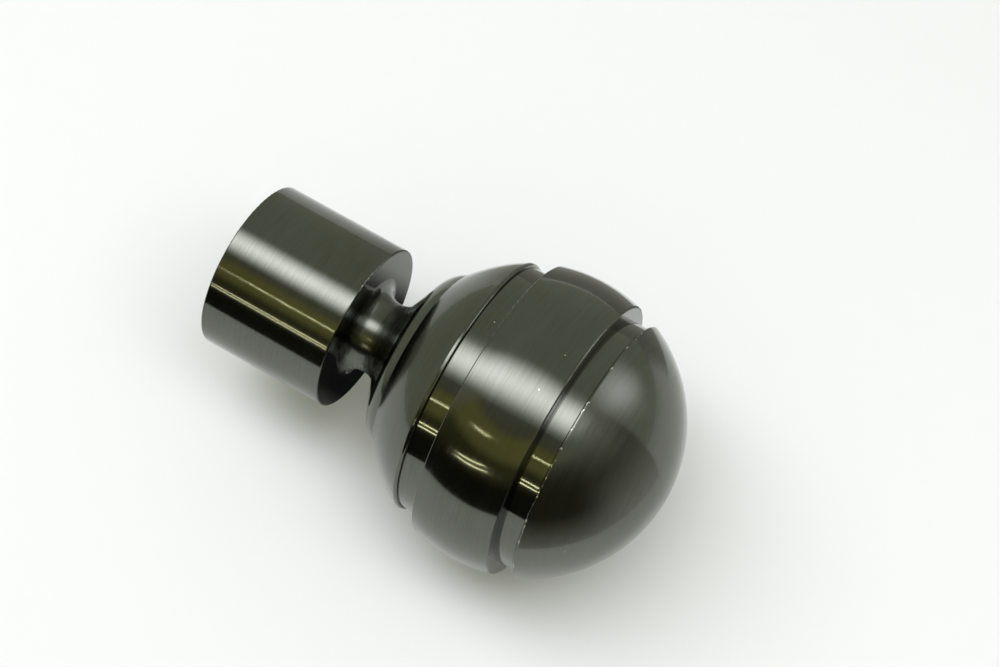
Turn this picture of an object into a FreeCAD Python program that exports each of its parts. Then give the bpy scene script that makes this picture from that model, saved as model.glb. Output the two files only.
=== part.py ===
"""Ball finial for a curtain pole: a turned body that caps the pole's end, and the grub screw that holds it.

The axis is X. The origin is the centre of the socket's mouth, and +X runs to the tip of the ball.
"""
import math
import os

import FreeCAD
import Part

# Sizes in millimetres and degrees.

# Socket that slides over the pole's end.
POLE_DIAMETER = 28.0
POLE_CLEARANCE = 0.25
SOCKET_WALL = 2.9
SOCKET_LENGTH = 26.8
SOCKET_FLOOR = 4.8

# Neck, and the flared collar that carries it into the ball.
NECK_DIAMETER = 15.0
NECK_COVE = 3.5
NECK_STRAIGHT = 0.6
FLARE_ANGLE = 63.5
FLARE_LENGTH = 7.6
COLLAR_BEAD = 5.4

# Ball, set by its gap from the socket's end face, with two grooves that leave a raised ring between them.
BALL_DIAMETER = 60.0
BALL_STANDOFF = 7.0
RING_WIDTH = 16.5
COLLAR_GROOVE_WIDTH = 4.65
COLLAR_GROOVE_LIP = 1.0
DOME_GROOVE_WIDTH = 4.3

# Rounding of the outer edges. The collar's edge at its groove is the softest.
EDGE_ROUND = 0.35
COLLAR_EDGE_ROUND = 0.6

# Grub screw through the socket's wall, on the underside.
SCREW_DIAMETER = 4.0
SCREW_CLEARANCE = 0.05
SCREW_SETBACK = 0.2
SCREW_POSITION = 11.0
HEX_KEY = 2.0
HEX_DEPTH = 1.3

# Sizes that follow from those above.
bore_radius = POLE_DIAMETER / 2 + POLE_CLEARANCE
socket_radius = bore_radius + SOCKET_WALL
socket_depth = SOCKET_LENGTH - SOCKET_FLOOR
neck_radius = NECK_DIAMETER / 2
ball_radius = BALL_DIAMETER / 2
ball_centre = FreeCAD.Vector(SOCKET_LENGTH + BALL_STANDOFF + ball_radius, 0, 0)
ring_half = RING_WIDTH / 2
collar_edge = ring_half + COLLAR_GROOVE_WIDTH
dome_edge = ring_half + DOME_GROOVE_WIDTH

X_AXIS = FreeCAD.Vector(1, 0, 0)
DOWN = FreeCAD.Vector(0, 0, -1)


def at(x, radius):
    """Point of a turned outline: a place along the axis and a distance from it."""
    return FreeCAD.Vector(x, radius, 0)


def on_arc(centre, radius, angle):
    """Point on an arc of an outline, with the angle in degrees from the +X direction."""
    turn = math.radians(angle)
    return centre + radius * at(math.cos(turn), math.sin(turn))


def arc(centre, radius, start, end):
    """Arc of an outline between two angles."""
    points = [on_arc(centre, radius, angle) for angle in (start, (start + end) / 2, end)]
    return Part.Arc(*points).toShape()


def turned(outline):
    """Solid turned about the axis from a list of points and arcs, joined in order by straight lines."""
    edges = []
    corners = []
    for item in outline:
        if isinstance(item, FreeCAD.Vector):
            corners.append((item, item))
        else:
            edges.append(item)
            corners.append((item.valueAt(item.FirstParameter), item.valueAt(item.LastParameter)))
    for (_, end), (start, _) in zip(corners, corners[1:] + corners[:1]):
        if not end.isEqual(start, 1e-6):
            edges.append(Part.makeLine(end, start))
    wire = Part.Wire(Part.__sortEdges__(edges))
    return Part.Face(wire).revolve(FreeCAD.Vector(), X_AXIS, 360)


def stem():
    """Socket, neck and collar in one outline. The collar's bead ends inside the ball."""
    lean = FLARE_ANGLE - 90
    corner = socket_radius - EDGE_ROUND
    face_cove = at(SOCKET_LENGTH + NECK_COVE, neck_radius + NECK_COVE)
    ball_cove = face_cove + at(NECK_STRAIGHT, 0)
    flare_start = on_arc(ball_cove, NECK_COVE, lean)
    bead = on_arc(on_arc(flare_start, FLARE_LENGTH, FLARE_ANGLE), COLLAR_BEAD, lean)
    return turned([
        at(0, bore_radius),
        arc(at(EDGE_ROUND, corner), EDGE_ROUND, 180, 90),
        arc(at(SOCKET_LENGTH - EDGE_ROUND, corner), EDGE_ROUND, 90, 0),
        arc(face_cove, NECK_COVE, 180, 270),
        arc(ball_cove, NECK_COVE, 270, 360 + lean),
        arc(bead, COLLAR_BEAD, 180 + lean, 90),
        at(bead.x, 0),
        at(socket_depth, 0),
        at(socket_depth, bore_radius),
    ])


def edge_arcs(offset, rounding):
    """Angle at which the ball runs into the rounding of a flat face's edge, and the rounding's centre.

    The face lies at the offset from the ball's centre, with the metal on its +X side.
    """
    reach = ball_radius - rounding
    angle = math.degrees(math.acos((offset + rounding) / reach))
    return angle, on_arc(ball_centre, reach, angle)


def cap(offset, rounding):
    """Cap of the ball on the +X side of a flat face at the offset from the ball's centre."""
    angle, edge = edge_arcs(offset, rounding)
    return turned([
        at(ball_centre.x + offset, 0),
        arc(edge, rounding, 180, angle),
        arc(ball_centre, ball_radius, angle, 0),
    ])


def collar_cap():
    """Cap of the ball at the collar, which faces -X."""
    return cap(collar_edge, COLLAR_EDGE_ROUND).mirror(ball_centre, X_AXIS)


def dome():
    """Cap of the ball beyond the groove next to the tip."""
    return cap(dome_edge, EDGE_ROUND)


def ring():
    """Raised ring between the grooves, as a whole slice of the ball."""
    angle, near_edge = edge_arcs(-ring_half, EDGE_ROUND)
    far_edge = at(2 * ball_centre.x - near_edge.x, near_edge.y)
    return turned([
        at(ball_centre.x - ring_half, 0),
        arc(near_edge, EDGE_ROUND, 180, angle),
        arc(ball_centre, ball_radius, angle, 180 - angle),
        arc(far_edge, EDGE_ROUND, 180 - angle, 0),
        at(ball_centre.x + ring_half, 0),
    ])


def core():
    """Cylinder under the ring, whose wall is the floor of both grooves."""
    lip_radius = math.sqrt(ball_radius ** 2 - collar_edge ** 2)
    start = at(ball_centre.x - collar_edge, 0)
    return Part.makeCylinder(lip_radius - COLLAR_GROOVE_LIP, collar_edge + dome_edge, start, X_AXIS)


def screw_hole():
    """Cutter for the tapped hole, square to the axis."""
    radius = SCREW_DIAMETER / 2 + SCREW_CLEARANCE
    return Part.makeCylinder(radius, socket_radius, at(SCREW_POSITION, 0), DOWN)


def finial_body():
    """The turned body."""
    solid = stem().fuse([collar_cap(), core(), ring(), dome()]).removeSplitter()
    return solid.cut(screw_hole())


def grub_screw():
    """Headless screw that stays inside the wall, with a hexagon socket in its outer end."""
    length = SOCKET_WALL - 2 * SCREW_SETBACK
    tip = at(SCREW_POSITION, 0) + (bore_radius + SCREW_SETBACK) * DOWN
    head = tip + length * DOWN
    corners = [on_arc(head, HEX_KEY / math.sqrt(3), 60 * corner) for corner in range(7)]
    key_socket = Part.Face(Part.makePolygon(corners)).extrude(-HEX_DEPTH * DOWN)
    return Part.makeCylinder(SCREW_DIAMETER / 2, length, tip, DOWN).cut(key_socket)


os.makedirs("parts", exist_ok=True)
finial_body().exportStep("parts/finial_body.step")
grub_screw().exportStep("parts/grub_screw.step")
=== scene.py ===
"""Gunmetal ball finial lying on a pale table, under a long soft lamp."""

import math

import bpy
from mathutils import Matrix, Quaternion, Vector


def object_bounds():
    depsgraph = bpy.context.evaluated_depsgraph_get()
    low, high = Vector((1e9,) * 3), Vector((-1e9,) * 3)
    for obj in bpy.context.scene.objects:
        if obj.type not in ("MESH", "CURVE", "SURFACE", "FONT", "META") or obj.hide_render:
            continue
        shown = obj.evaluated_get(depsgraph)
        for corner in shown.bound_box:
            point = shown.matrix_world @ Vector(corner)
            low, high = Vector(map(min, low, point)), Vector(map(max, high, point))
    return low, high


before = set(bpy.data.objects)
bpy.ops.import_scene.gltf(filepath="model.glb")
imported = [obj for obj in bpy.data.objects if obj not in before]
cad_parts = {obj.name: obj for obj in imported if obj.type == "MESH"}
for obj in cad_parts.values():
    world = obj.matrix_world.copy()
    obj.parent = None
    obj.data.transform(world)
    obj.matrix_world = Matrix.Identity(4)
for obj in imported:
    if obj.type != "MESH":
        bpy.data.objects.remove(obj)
cad_low, cad_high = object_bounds()
centre = (cad_low + cad_high) / 2
length = cad_high.x - cad_low.x
ball_centre = Vector((cad_high.x - cad_high.z, 0, 0))
table_top = cad_low.z

# Sizes are in metres and degrees, and the camera's lens is in millimetres.

# Camera: the photo's viewing angle and lens.
CAMERA_AIM = Vector((0.0495, 0.0127, 0.0))
CAMERA_DISTANCE = 0.4561
CAMERA_AZIMUTH = -58.53
CAMERA_ELEVATION = 64.66
CAMERA_LENS = 84.81

# Places along the axis where the finish changes, and the dome's edge.
NECK_START = 0.0272
NECK_END = 0.0345
COLLAR_WALL = 0.0509
RING_START = 0.05555
RING_WALL = 0.07205
DOME_START = 0.0764
DOME_EDGE = 0.0766

# Roughness of the metal from each place on, and how far lines and worn patches make it swing.
FINISH = (
    (0.0, 0.13),
    (NECK_START, 0.27),
    (NECK_END, 0.14),
    (COLLAR_WALL, 0.10),
    (RING_START, 0.14),
    (RING_WALL, 0.10),
    (DOME_START, 0.19),
)
ROUGHNESS_SWING = 0.12

# Plating, painted shade on two groove walls, the bare metal of specks and chips, and the tint at a
# grazing view.
PLATING_TONES = (
    (0.3, (0.074, 0.078, 0.060)),
    (0.7, (0.112, 0.116, 0.102)),
)
GROOVE_WALLS = (COLLAR_WALL, RING_WALL)
GROOVE_WALL_HALF = 0.00008
# Painted shade: the two groove walls are drawn near black.
GROOVE_WALL_SHADE_COLOUR = (0.04, 0.04, 0.035, 1)
BARE_COLOUR = (0.62, 0.62, 0.58, 1)
EDGE_TINT = (0.72, 0.72, 0.70, 1)

# Turning lines, which die down within the calm radius round the axis, and worn patches.
LINES_A_METRE = 2600
LINE_WANDER = 3.0
LINE_DETAIL = 3.0
LINE_DEPTH = 6e-7
CALM_RADIUS = 0.004
PATCHES_A_METRE = 55.0

# Specks: their radius as a share of their spacing, and the share of places left without one.
SPECKS_A_METRE = 260.0
SPECK_RADIUS = 0.035
SPECK_RARITY = 0.75

# Chips in a narrow band along the dome's edge, where the noise rises above a level.
CHIP_HALF = 0.0003
CHIP_WANDER = 30.0
CHIP_DETAIL = 2.0
CHIP_LEVEL = 0.62

# Grub screw: fine grain, which sets its tone and adds to its roughness.
SCREW_GRAINS_A_METRE = 1500.0
SCREW_TONES = (
    (0.3, (0.045, 0.045, 0.05)),
    (0.7, (0.08, 0.08, 0.085)),
)
SCREW_ROUGHNESS = 0.25
SCREW_ROUGHNESS_SWING = 0.3

# Table and lamps. Brightness is the light that comes off each square metre in every direction.
TABLE_RADIUS = 0.30
TABLE_COLOUR = (0.82, 0.82, 0.84, 1)
LAMP_HEIGHT = 0.60
LAMP_LENGTH = 1.15
LAMP_WIDTH = 0.44
LAMP_BRIGHTNESS = 5.8
LAMP_COLOUR = (0.95, 0.96, 1.0)
LAMP_SHIFT = Vector((-0.05, -0.03, 0.0))
WINDOW_BEARING = 130.0
WINDOW_RISE = 26.0
WINDOW_DISTANCE = 1.2
WINDOW_HALF_WIDTH = 0.38
WINDOW_HALF_HEIGHT = 0.68
WINDOW_TILT = 30.0
WINDOW_BRIGHTNESS = 2.6
ROOM_COLOUR = (0.53, 0.55, 0.44)

# Far card in front of the ball: bearings from the front toward +X, and tones by rise.
CARD_DISTANCE = 1.3
CARD_BEARINGS = (-70.0, 62.0)
CARD_LEFT_FADE = (-65, -45)
CARD_RIGHT_FADE = (35, 60)
CARD_COLUMNS = 24
CARD_ROWS = 12
CARD_TONES = (
    (-12, (0.02, 0.02, 0.015)),
    (13, (0.03, 0.03, 0.02)),
    (22, (0.11, 0.11, 0.045)),
    (30, (0.13, 0.13, 0.055)),
    (37, (0.46, 0.43, 0.16)),
    (50, (0.50, 0.47, 0.16)),
    (56, (0.30, 0.30, 0.21)),
    (67, (0.32, 0.33, 0.26)),
    (72, ROOM_COLOUR),
)

# Card that stands on the table beside the dome, with tones by height at its left and right ends.
SIDE_DISTANCE = 0.076
SIDE_BEARINGS = (24.0, 105.0)
SIDE_CHANGE = (55, 85)
SIDE_TOP = 0.064
SIDE_LEFT_TONES = (
    (table_top, (0.55, 0.55, 0.52)),
    (-0.015, (0.38, 0.38, 0.34)),
    (-0.004, (0.21, 0.21, 0.17)),
    (0.006, (0.065, 0.065, 0.045)),
    (0.030, (0.065, 0.065, 0.042)),
    (0.042, (0.10, 0.10, 0.07)),
    (0.052, (0.20, 0.20, 0.14)),
    (SIDE_TOP, ROOM_COLOUR),
)
SIDE_RIGHT_TONES = (
    (table_top, (0.80, 0.80, 0.78)),
    (-0.012, (0.70, 0.70, 0.66)),
    (0.012, (0.40, 0.40, 0.35)),
    (0.027, (0.20, 0.20, 0.15)),
    (0.041, (0.34, 0.34, 0.26)),
    (SIDE_TOP, ROOM_COLOUR),
)

# Card that stands behind the ball, dark card of painted shadow under the neck, and the share of each
# that thins out.
BACK_ENDS = ((0.0, 0.047), (0.130, 0.090))
BACK_TOP = 0.012
BACK_TONE = (0.40, 0.40, 0.36)
NECK_CARD_X = (0.028, 0.0425)
NECK_CARD_Y = (-0.012, 0.027)
NECK_CARD_HEIGHT = table_top + 0.0002
# Painted shadow: the card under the neck is near black.
NECK_SHADOW_TONE = (0.015, 0.015, 0.017)
THIN_PART = 0.22

# Thin bright strips in front of the far card: where each starts and ends, and how far it wavers.
STRIP_DISTANCE = 0.98 * CARD_DISTANCE
STRIP_BRIGHTNESS = 18.0
STRIP_COLOUR = (1.0, 0.94, 0.62, 1)
STRIP_HALF = 0.23
STRIP_STEPS = 60
STRIPS = (
    ((-24, 18.3), (0, 22.6), 0.2),
    ((-24, 21.0), (-3, 25.9), 0.25),
    ((-30, 43.0), (-11, 45.5), 1.5),
)
WAVER_PACES = (29, 67, 143)


class Nodes:
    """Short way to add and join the nodes of a material."""

    def __init__(self, tree):
        self.tree = tree

    def set(self, socket, value):
        """Joins a socket to another one, or gives it a constant."""
        if isinstance(value, bpy.types.NodeSocket):
            self.tree.links.new(value, socket)
        else:
            socket.default_value = value

    def add(self, kind, inputs=(), **settings):
        """New node, with its settings, and its inputs joined or set by name."""
        node = self.tree.nodes.new(kind)
        for name, value in settings.items():
            setattr(node, name, value)
        for name, value in dict(inputs).items():
            self.set(node.inputs[name], value)
        return node

    def math(self, operation, *values):
        """Output of a math node whose inputs are given in order."""
        node = self.add("ShaderNodeMath", operation=operation)
        for socket, value in zip(node.inputs, values):
            self.set(socket, value)
        return node.outputs[0]

    def place(self):
        """Place on the object, in its own frame."""
        return self.add("ShaderNodeTexCoord").outputs["Object"]

    def split(self, vector):
        """The three parts of a vector, by name or in order."""
        return self.add("ShaderNodeSeparateXYZ", {"Vector": vector}).outputs

    def direction(self, vector):
        """A vector brought to a length of 1."""
        return self.add("ShaderNodeVectorMath", {0: vector}, operation="NORMALIZE").outputs["Vector"]

    def clouds(self, place, scale):
        """Soft even noise."""
        inputs = {"Vector": place, "Scale": scale, "Detail": 4.0}
        return self.add("ShaderNodeTexNoise", inputs).outputs[0]

    def ramp(self, factor, stops, interpolation="LINEAR"):
        """Colour output of a ramp with the stops given as places and colours."""
        node = self.add("ShaderNodeValToRGB", {"Fac": factor})
        node.color_ramp.interpolation = interpolation
        elements = node.color_ramp.elements
        while len(elements) < len(stops):
            elements.new(1.0)
        for element, (place, colour) in zip(elements, stops):
            element.position = place
            element.color = (*colour, 1)
        return node.outputs["Color"]

    def blend(self, factor, first, second):
        """Output between two colours or two vectors."""
        node = self.add("ShaderNodeMix", data_type="RGBA")
        for socket, value in ((0, factor), (6, first), (7, second)):
            self.set(node.inputs[socket], value)
        return node.outputs[2]

    def fade(self, value, start, end):
        """Smooth step from 0 to 1 between two values."""
        inputs = {"Value": value, "From Min": start, "From Max": end}
        node = self.add("ShaderNodeMapRange", inputs, interpolation_type="SMOOTHSTEP")
        return node.outputs["Result"]

    def surface(self, shader):
        """Makes a shader's output the look of the whole material."""
        self.set(self.tree.nodes["Material Output"].inputs["Surface"], shader.outputs[0])

    def glow(self, colour, strength=1.0):
        """Makes the whole material give off light."""
        self.surface(self.add("ShaderNodeEmission", {"Color": colour, "Strength": strength}))

    def glow_from_room(self, share, brightness):
        """Makes the material glow, from the room's tone at a share of 0 to lamp light at 1."""
        bright = [brightness * part for part in LAMP_COLOUR]
        self.glow(self.blend(share, (*ROOM_COLOUR, 1), (*bright, 1)))


def new_material(name):
    """New material, with its nodes and its shader."""
    material = bpy.data.materials.new(name)
    material.use_nodes = True
    nodes = Nodes(material.node_tree)
    return material, nodes, material.node_tree.nodes["Principled BSDF"]


class Turned:
    """Place on a turned surface: along the axis, out from it and round it."""

    def __init__(self, nodes):
        self.nodes = nodes
        self.place = nodes.place()
        parts = nodes.split(self.place)
        self.along = parts["X"]
        across = nodes.add("ShaderNodeCombineXYZ", {"Y": parts["Y"], "Z": parts["Z"]}).outputs["Vector"]
        self.out = nodes.add("ShaderNodeVectorMath", {0: across}, operation="LENGTH").outputs["Value"]
        self.turn = nodes.split(nodes.direction(across))

    def noise(self, wander, detail):
        """Noise drawn out into lines round the axis, with changes along each line.

        It dies down to its middle value close to the axis, where the lines would crowd together.
        """
        nodes = self.nodes
        where = nodes.add("ShaderNodeCombineXYZ", {
            "X": nodes.math("MULTIPLY", self.along, LINES_A_METRE),
            "Y": nodes.math("MULTIPLY", self.out, LINES_A_METRE),
            "Z": nodes.math("MULTIPLY", self.turn["Y"], wander),
        })
        level = nodes.add("ShaderNodeTexNoise", {
            "Vector": where.outputs["Vector"],
            "W": nodes.math("MULTIPLY", self.turn["Z"], wander),
            "Scale": 1.0,
            "Detail": detail,
        }, noise_dimensions="4D").outputs[0]
        swing = nodes.math("SUBTRACT", level, 0.5)
        return nodes.math("MULTIPLY_ADD", swing, nodes.fade(self.out, 0, CALM_RADIUS), 0.5)


def rounded_tip(nodes, turned):
    """Direction that the surface faces, taken from the ball's own shape round the tip."""
    from_centre = {0: turned.place, 1: ball_centre}
    outward = nodes.add("ShaderNodeVectorMath", from_centre, operation="SUBTRACT").outputs["Vector"]
    beyond = nodes.math("GREATER_THAN", turned.along, DOME_EDGE)
    share = nodes.math("MULTIPLY", beyond, nodes.fade(turned.out, CALM_RADIUS, CALM_RADIUS / 2))
    facing = nodes.add("ShaderNodeNewGeometry").outputs["Normal"]
    return nodes.blend(share, facing, nodes.direction(outward))


def bare_metal(nodes, turned):
    """1 in the specks and in the chips along the dome's edge, and 0 elsewhere."""
    cells = nodes.add("ShaderNodeTexVoronoi", {"Vector": turned.place, "Scale": SPECKS_A_METRE})
    small = nodes.math("LESS_THAN", cells.outputs["Distance"], SPECK_RADIUS)
    draw = nodes.add("ShaderNodeSeparateColor", {"Color": cells.outputs["Color"]}).outputs["Red"]
    specks = nodes.math("MULTIPLY", small, nodes.math("GREATER_THAN", draw, SPECK_RARITY))
    on_edge = nodes.math("COMPARE", turned.along, DOME_EDGE, CHIP_HALF)
    broken = nodes.math("GREATER_THAN", turned.noise(CHIP_WANDER, CHIP_DETAIL), CHIP_LEVEL)
    return nodes.math("MAXIMUM", specks, nodes.math("MULTIPLY", on_edge, broken))


def gunmetal_colour(nodes, turned, lines, patches):
    """Uneven dark plating, bare in specks and chips, with painted shade on two walls of the grooves."""
    mean = nodes.math("MULTIPLY", nodes.math("ADD", lines, patches), 0.5)
    colour = nodes.blend(bare_metal(nodes, turned), nodes.ramp(mean, PLATING_TONES), BARE_COLOUR)
    # Painted shade: narrow bands at two groove walls are turned near black.
    wall_shade_bands = [nodes.math("COMPARE", turned.along, place, GROOVE_WALL_HALF) for place in GROOVE_WALLS]
    return nodes.blend(nodes.math("MAXIMUM", *wall_shade_bands), colour, GROOVE_WALL_SHADE_COLOUR)


def gunmetal_roughness(nodes, turned, lines, patches):
    """Roughness by the place along the axis, with a swing from the lines and the patches."""
    finish = nodes.ramp(
        nodes.math("DIVIDE", turned.along, length),
        [(place / length, (rough, rough, rough)) for place, rough in FINISH],
        "CONSTANT",
    )
    streaks, wear = [
        nodes.math("MULTIPLY_ADD", noise, ROUGHNESS_SWING, -ROUGHNESS_SWING / 2)
        for noise in (lines, patches)
    ]
    return nodes.math("ADD", finish, nodes.math("ADD", streaks, wear))


def gunmetal():
    """Dark plated metal under clear lacquer, with turning lines, worn patches, specks and chips."""
    material, nodes, shader = new_material("gunmetal")
    turned = Turned(nodes)
    lines = turned.noise(LINE_WANDER, LINE_DETAIL)
    patches = nodes.clouds(turned.place, PATCHES_A_METRE)
    bump = nodes.add("ShaderNodeBump", {
        "Height": lines,
        "Distance": LINE_DEPTH,
        "Strength": 1.0,
        "Normal": rounded_tip(nodes, turned),
    })
    tangent = nodes.add("ShaderNodeTangent", direction_type="RADIAL", axis="X")
    for name, value in {
        "Base Color": gunmetal_colour(nodes, turned, lines, patches),
        "Metallic": 1.0,
        "Roughness": gunmetal_roughness(nodes, turned, lines, patches),
        "Anisotropic": 0.8,
        "Anisotropic Rotation": 0.25,
        "Tangent": tangent.outputs["Tangent"],
        "Normal": bump.outputs["Normal"],
        "Specular Tint": EDGE_TINT,
        "Coat Weight": 0.5,
        "Coat Roughness": 0.03,
    }.items():
        nodes.set(shader.inputs[name], value)
    return material


def screw_steel():
    """Blackened steel of the grub screw."""
    material, nodes, shader = new_material("screw_steel")
    grain = nodes.clouds(nodes.place(), SCREW_GRAINS_A_METRE)
    rough = nodes.math("MULTIPLY_ADD", grain, SCREW_ROUGHNESS_SWING, SCREW_ROUGHNESS)
    nodes.set(shader.inputs["Base Color"], nodes.ramp(grain, SCREW_TONES))
    nodes.set(shader.inputs["Metallic"], 1.0)
    nodes.set(shader.inputs["Roughness"], rough)
    return material


def table_paint():
    """Plain white of the table."""
    material, nodes, shader = new_material("table_paint")
    nodes.set(shader.inputs["Base Color"], TABLE_COLOUR)
    nodes.set(shader.inputs["Roughness"], 0.8)
    return material


def dress(node, material):
    """Gives a CAD node its material."""
    node.data.materials.clear()
    node.data.materials.append(material)


def toward(bearing, rise):
    """Direction at a bearing from the front (-Y) toward +X and a rise above the horizon."""
    bearing = math.radians(bearing)
    rise = math.radians(rise)
    level = math.cos(rise)
    return Vector((level * math.sin(bearing), -level * math.cos(bearing), math.sin(rise)))


def add_table():
    """Round pale table under the object."""
    bpy.ops.mesh.primitive_circle_add(vertices=128, radius=TABLE_RADIUS, fill_type="NGON")
    table = bpy.context.object
    table.name = "table"
    table.location = (centre.x, centre.y, table_top)
    table.data.materials.append(table_paint())


def lamp_glow():
    """Light of the lamp, brightest along its middle and fading into the room at its long edges."""
    material, nodes, _ = new_material("lamp_glow")
    off_middle = nodes.math("ABSOLUTE", nodes.split(nodes.place())["Y"])
    nodes.glow_from_room(nodes.fade(off_middle, LAMP_WIDTH / 2, 0), LAMP_BRIGHTNESS)
    return material


def add_lamp():
    """Long soft lamp overhead, along the object's axis."""
    bpy.ops.mesh.primitive_plane_add(size=1.0)
    lamp = bpy.context.object
    lamp.name = "long_lamp"
    for corner in lamp.data.vertices:
        corner.co.x *= LAMP_LENGTH
        corner.co.y *= LAMP_WIDTH
    lamp.location = centre + Vector((0, 0, LAMP_HEIGHT)) + LAMP_SHIFT
    lamp.data.materials.append(lamp_glow())
    lamp.visible_camera = False


def mirrored_only(stage_piece):
    """Shows a piece of the studio to nothing but the metal's reflections."""
    stage_piece.visible_camera = False
    stage_piece.visible_diffuse = False
    stage_piece.visible_shadow = False


def add_sheet(name, rows, material):
    """Sheet through rows of points that are given from the ball's centre."""
    width = len(rows[0])
    starts = [
        row * width + column
        for row in range(len(rows) - 1)
        for column in range(width - 1)
    ]
    faces = [(start, start + 1, start + width + 1, start + width) for start in starts]
    mesh = bpy.data.meshes.new(name)
    mesh.from_pydata([point for row in rows for point in row], [], faces)
    mesh.materials.append(material)
    sheet = bpy.data.objects.new(name, mesh)
    sheet.location = ball_centre
    bpy.context.collection.objects.link(sheet)
    mirrored_only(sheet)


class Around:
    """Place on a card as seen from the ball's centre: its height, rise and bearing."""

    def __init__(self, nodes):
        place = nodes.place()
        self.height = nodes.split(place)["Z"]
        x, y, z = nodes.split(nodes.direction(place))
        front = nodes.math("MULTIPLY", y, -1.0)
        self.rise = nodes.math("DEGREES", nodes.math("ARCSINE", z))
        self.bearing = nodes.math("DEGREES", nodes.math("ARCTAN2", x, front))


def graded(nodes, value, tones):
    """Colour that runs through tones, each given with the value at which it lies."""
    low = tones[0][0]
    span = tones[-1][0] - low
    share = nodes.math("DIVIDE", nodes.math("SUBTRACT", value, low), span)
    return nodes.ramp(share, [((place - low) / span, tone) for place, tone in tones])


def even_steps(ends, count):
    """Evenly spaced values from one end to the other."""
    start, end = ends
    return [start + (end - start) * step / count for step in range(count + 1)]


def far_card_paint():
    """Tones by rise, fading into the room at both ends."""
    material, nodes, _ = new_material("far_card_paint")
    around = Around(nodes)
    room = (*ROOM_COLOUR, 1)
    colour = graded(nodes, around.rise, CARD_TONES)
    colour = nodes.blend(nodes.fade(around.bearing, *CARD_LEFT_FADE), room, colour)
    colour = nodes.blend(nodes.fade(around.bearing, *CARD_RIGHT_FADE), colour, room)
    nodes.glow(colour)
    return material


def add_far_card():
    """Curved card far in front of the ball."""
    rises = even_steps((CARD_TONES[0][0], CARD_TONES[-1][0]), CARD_ROWS)
    bearings = even_steps(CARD_BEARINGS, CARD_COLUMNS)
    rows = [[CARD_DISTANCE * toward(bearing, rise) for bearing in bearings] for rise in rises]
    add_sheet("far_card", rows, far_card_paint())


def side_card_paint():
    """Tones by height, paler toward the card's right end."""
    material, nodes, _ = new_material("side_card_paint")
    around = Around(nodes)
    tones = [graded(nodes, around.height, side) for side in (SIDE_LEFT_TONES, SIDE_RIGHT_TONES)]
    nodes.glow(nodes.blend(nodes.fade(around.bearing, *SIDE_CHANGE), *tones))
    return material


def add_side_card():
    """Curved card beside the dome."""
    bearings = even_steps(SIDE_BEARINGS, CARD_COLUMNS)
    level = [SIDE_DISTANCE * toward(bearing, 0) for bearing in bearings]
    rows = [[point + Vector((0, 0, height)) for point in level] for height in (table_top, SIDE_TOP)]
    add_sheet("side_card", rows, side_card_paint())


def thin_paint(name, tone, direction):
    """One tone, which thins out to nothing toward the two ends of a card in one direction."""
    material, nodes, _ = new_material(name)
    share = nodes.split(nodes.add("ShaderNodeTexCoord").outputs["Generated"])[direction]
    ends = [nodes.fade(share, 0, THIN_PART), nodes.fade(share, 1, 1 - THIN_PART)]
    cover = nodes.math("MULTIPLY", *ends)
    clear = nodes.add("ShaderNodeBsdfTransparent").outputs[0]
    paint = nodes.add("ShaderNodeEmission", {"Color": (*tone, 1)}).outputs[0]
    nodes.surface(nodes.add("ShaderNodeMixShader", {0: cover, 1: clear, 2: paint}))
    return material


def add_back_card():
    """Low pale card that stands on the table behind the ball."""
    rows = [
        [Vector((x, y, height)) - ball_centre for x, y in BACK_ENDS]
        for height in (table_top, BACK_TOP)
    ]
    add_sheet("back_card", rows, thin_paint("back_card_paint", BACK_TONE, "X"))


def add_neck_shadow_card():
    """Dark card of painted shadow that lies on the table under the neck and is mirrored in the socket's
    end face.
    """
    rows = [
        [Vector((x, y, NECK_CARD_HEIGHT)) - ball_centre for x in NECK_CARD_X]
        for y in NECK_CARD_Y
    ]
    add_sheet("neck_shadow_card", rows, thin_paint("neck_shadow_paint", NECK_SHADOW_TONE, "Y"))


def window_glow():
    """Light of the window, brightest in its middle and fading into the room all round."""
    material, nodes, _ = new_material("window_glow")
    where = {"Vector": nodes.place()}
    nearness = nodes.add("ShaderNodeTexGradient", where, gradient_type="SPHERICAL").outputs["Fac"]
    nodes.glow_from_room(nodes.fade(nearness, 0, 1), WINDOW_BRIGHTNESS)
    return material


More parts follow.
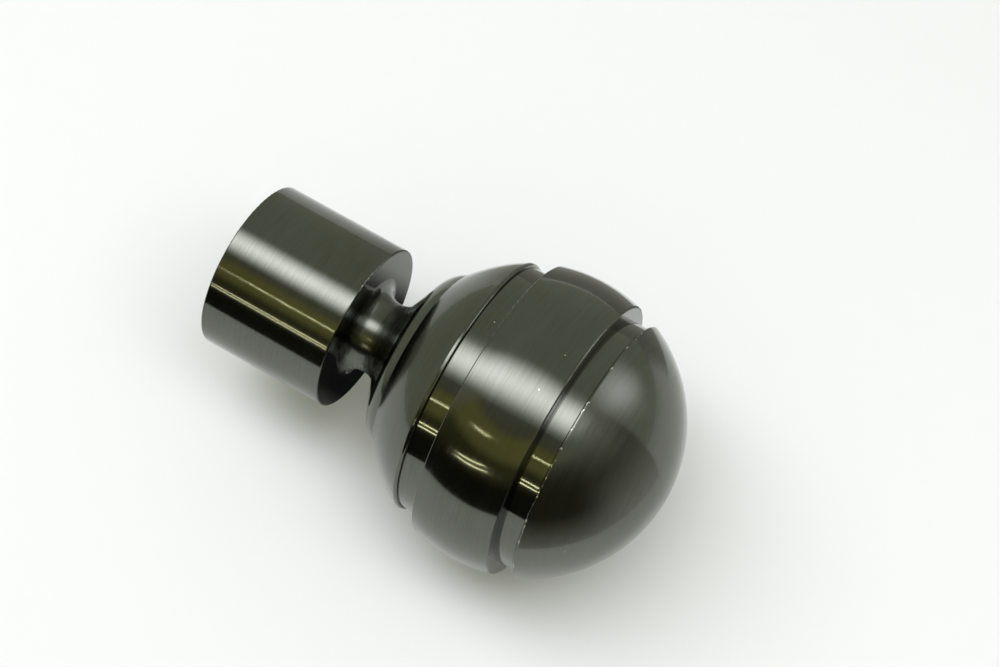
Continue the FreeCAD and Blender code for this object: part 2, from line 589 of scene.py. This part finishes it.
def add_window():
    """Tall soft window that leans a little."""
    bpy.ops.mesh.primitive_plane_add(size=2.0)
    window = bpy.context.object
    window.name = "window"
    away = toward(WINDOW_BEARING, WINDOW_RISE)
    lean = Quaternion((0, 0, 1), math.radians(WINDOW_TILT))
    window.location = ball_centre + WINDOW_DISTANCE * away
    window.rotation_euler = (away.to_track_quat("Z", "Y") @ lean).to_euler()
    window.scale = (WINDOW_HALF_WIDTH, WINDOW_HALF_HEIGHT, 1)
    window.data.materials.append(window_glow())
    mirrored_only(window)


def strip_edge(start, end, waver, shift):
    """Points along one edge of a strip, at a shift in rise from its middle."""
    points = []
    for share in even_steps((0, 1), STRIP_STEPS):
        bearing = start[0] + (end[0] - start[0]) * share
        rise = start[1] + (end[1] - start[1]) * share
        sway = sum(math.sin(pace * share) for pace in WAVER_PACES) / len(WAVER_PACES)
        points.append(STRIP_DISTANCE * toward(bearing, rise + waver * sway + shift))
    return points


def add_strips():
    """Thin bright strips in front of the far card."""
    material, nodes, _ = new_material("strip_light")
    nodes.glow(STRIP_COLOUR, STRIP_BRIGHTNESS)
    for number, strip in enumerate(STRIPS):
        rows = [strip_edge(*strip, shift) for shift in (-STRIP_HALF, STRIP_HALF)]
        add_sheet(f"strip_{number}", rows, material)


def add_room():
    """Even light of the room."""
    world = bpy.data.worlds.new("room")
    world.use_nodes = True
    world.node_tree.nodes["Background"].inputs["Color"].default_value = (*ROOM_COLOUR, 1)
    bpy.context.scene.world = world


def add_camera():
    """Camera at the photo's viewing angle."""
    camera = bpy.data.objects.new("camera", bpy.data.cameras.new("camera"))
    away = toward(CAMERA_AZIMUTH + 90, CAMERA_ELEVATION)
    camera.location = CAMERA_AIM + CAMERA_DISTANCE * away
    camera.rotation_euler = away.to_track_quat("Z", "Y").to_euler()
    camera.data.lens = CAMERA_LENS
    bpy.context.collection.objects.link(camera)
    bpy.context.scene.camera = camera


dress(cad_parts["finial_body"], gunmetal())
dress(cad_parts["grub_screw"], screw_steel())
add_table()
add_lamp()
add_far_card()
add_side_card()
add_back_card()
add_neck_shadow_card()
add_window()
add_strips()
add_room()
add_camera()
bpy.context.scene.view_settings.view_transform = "Standard"
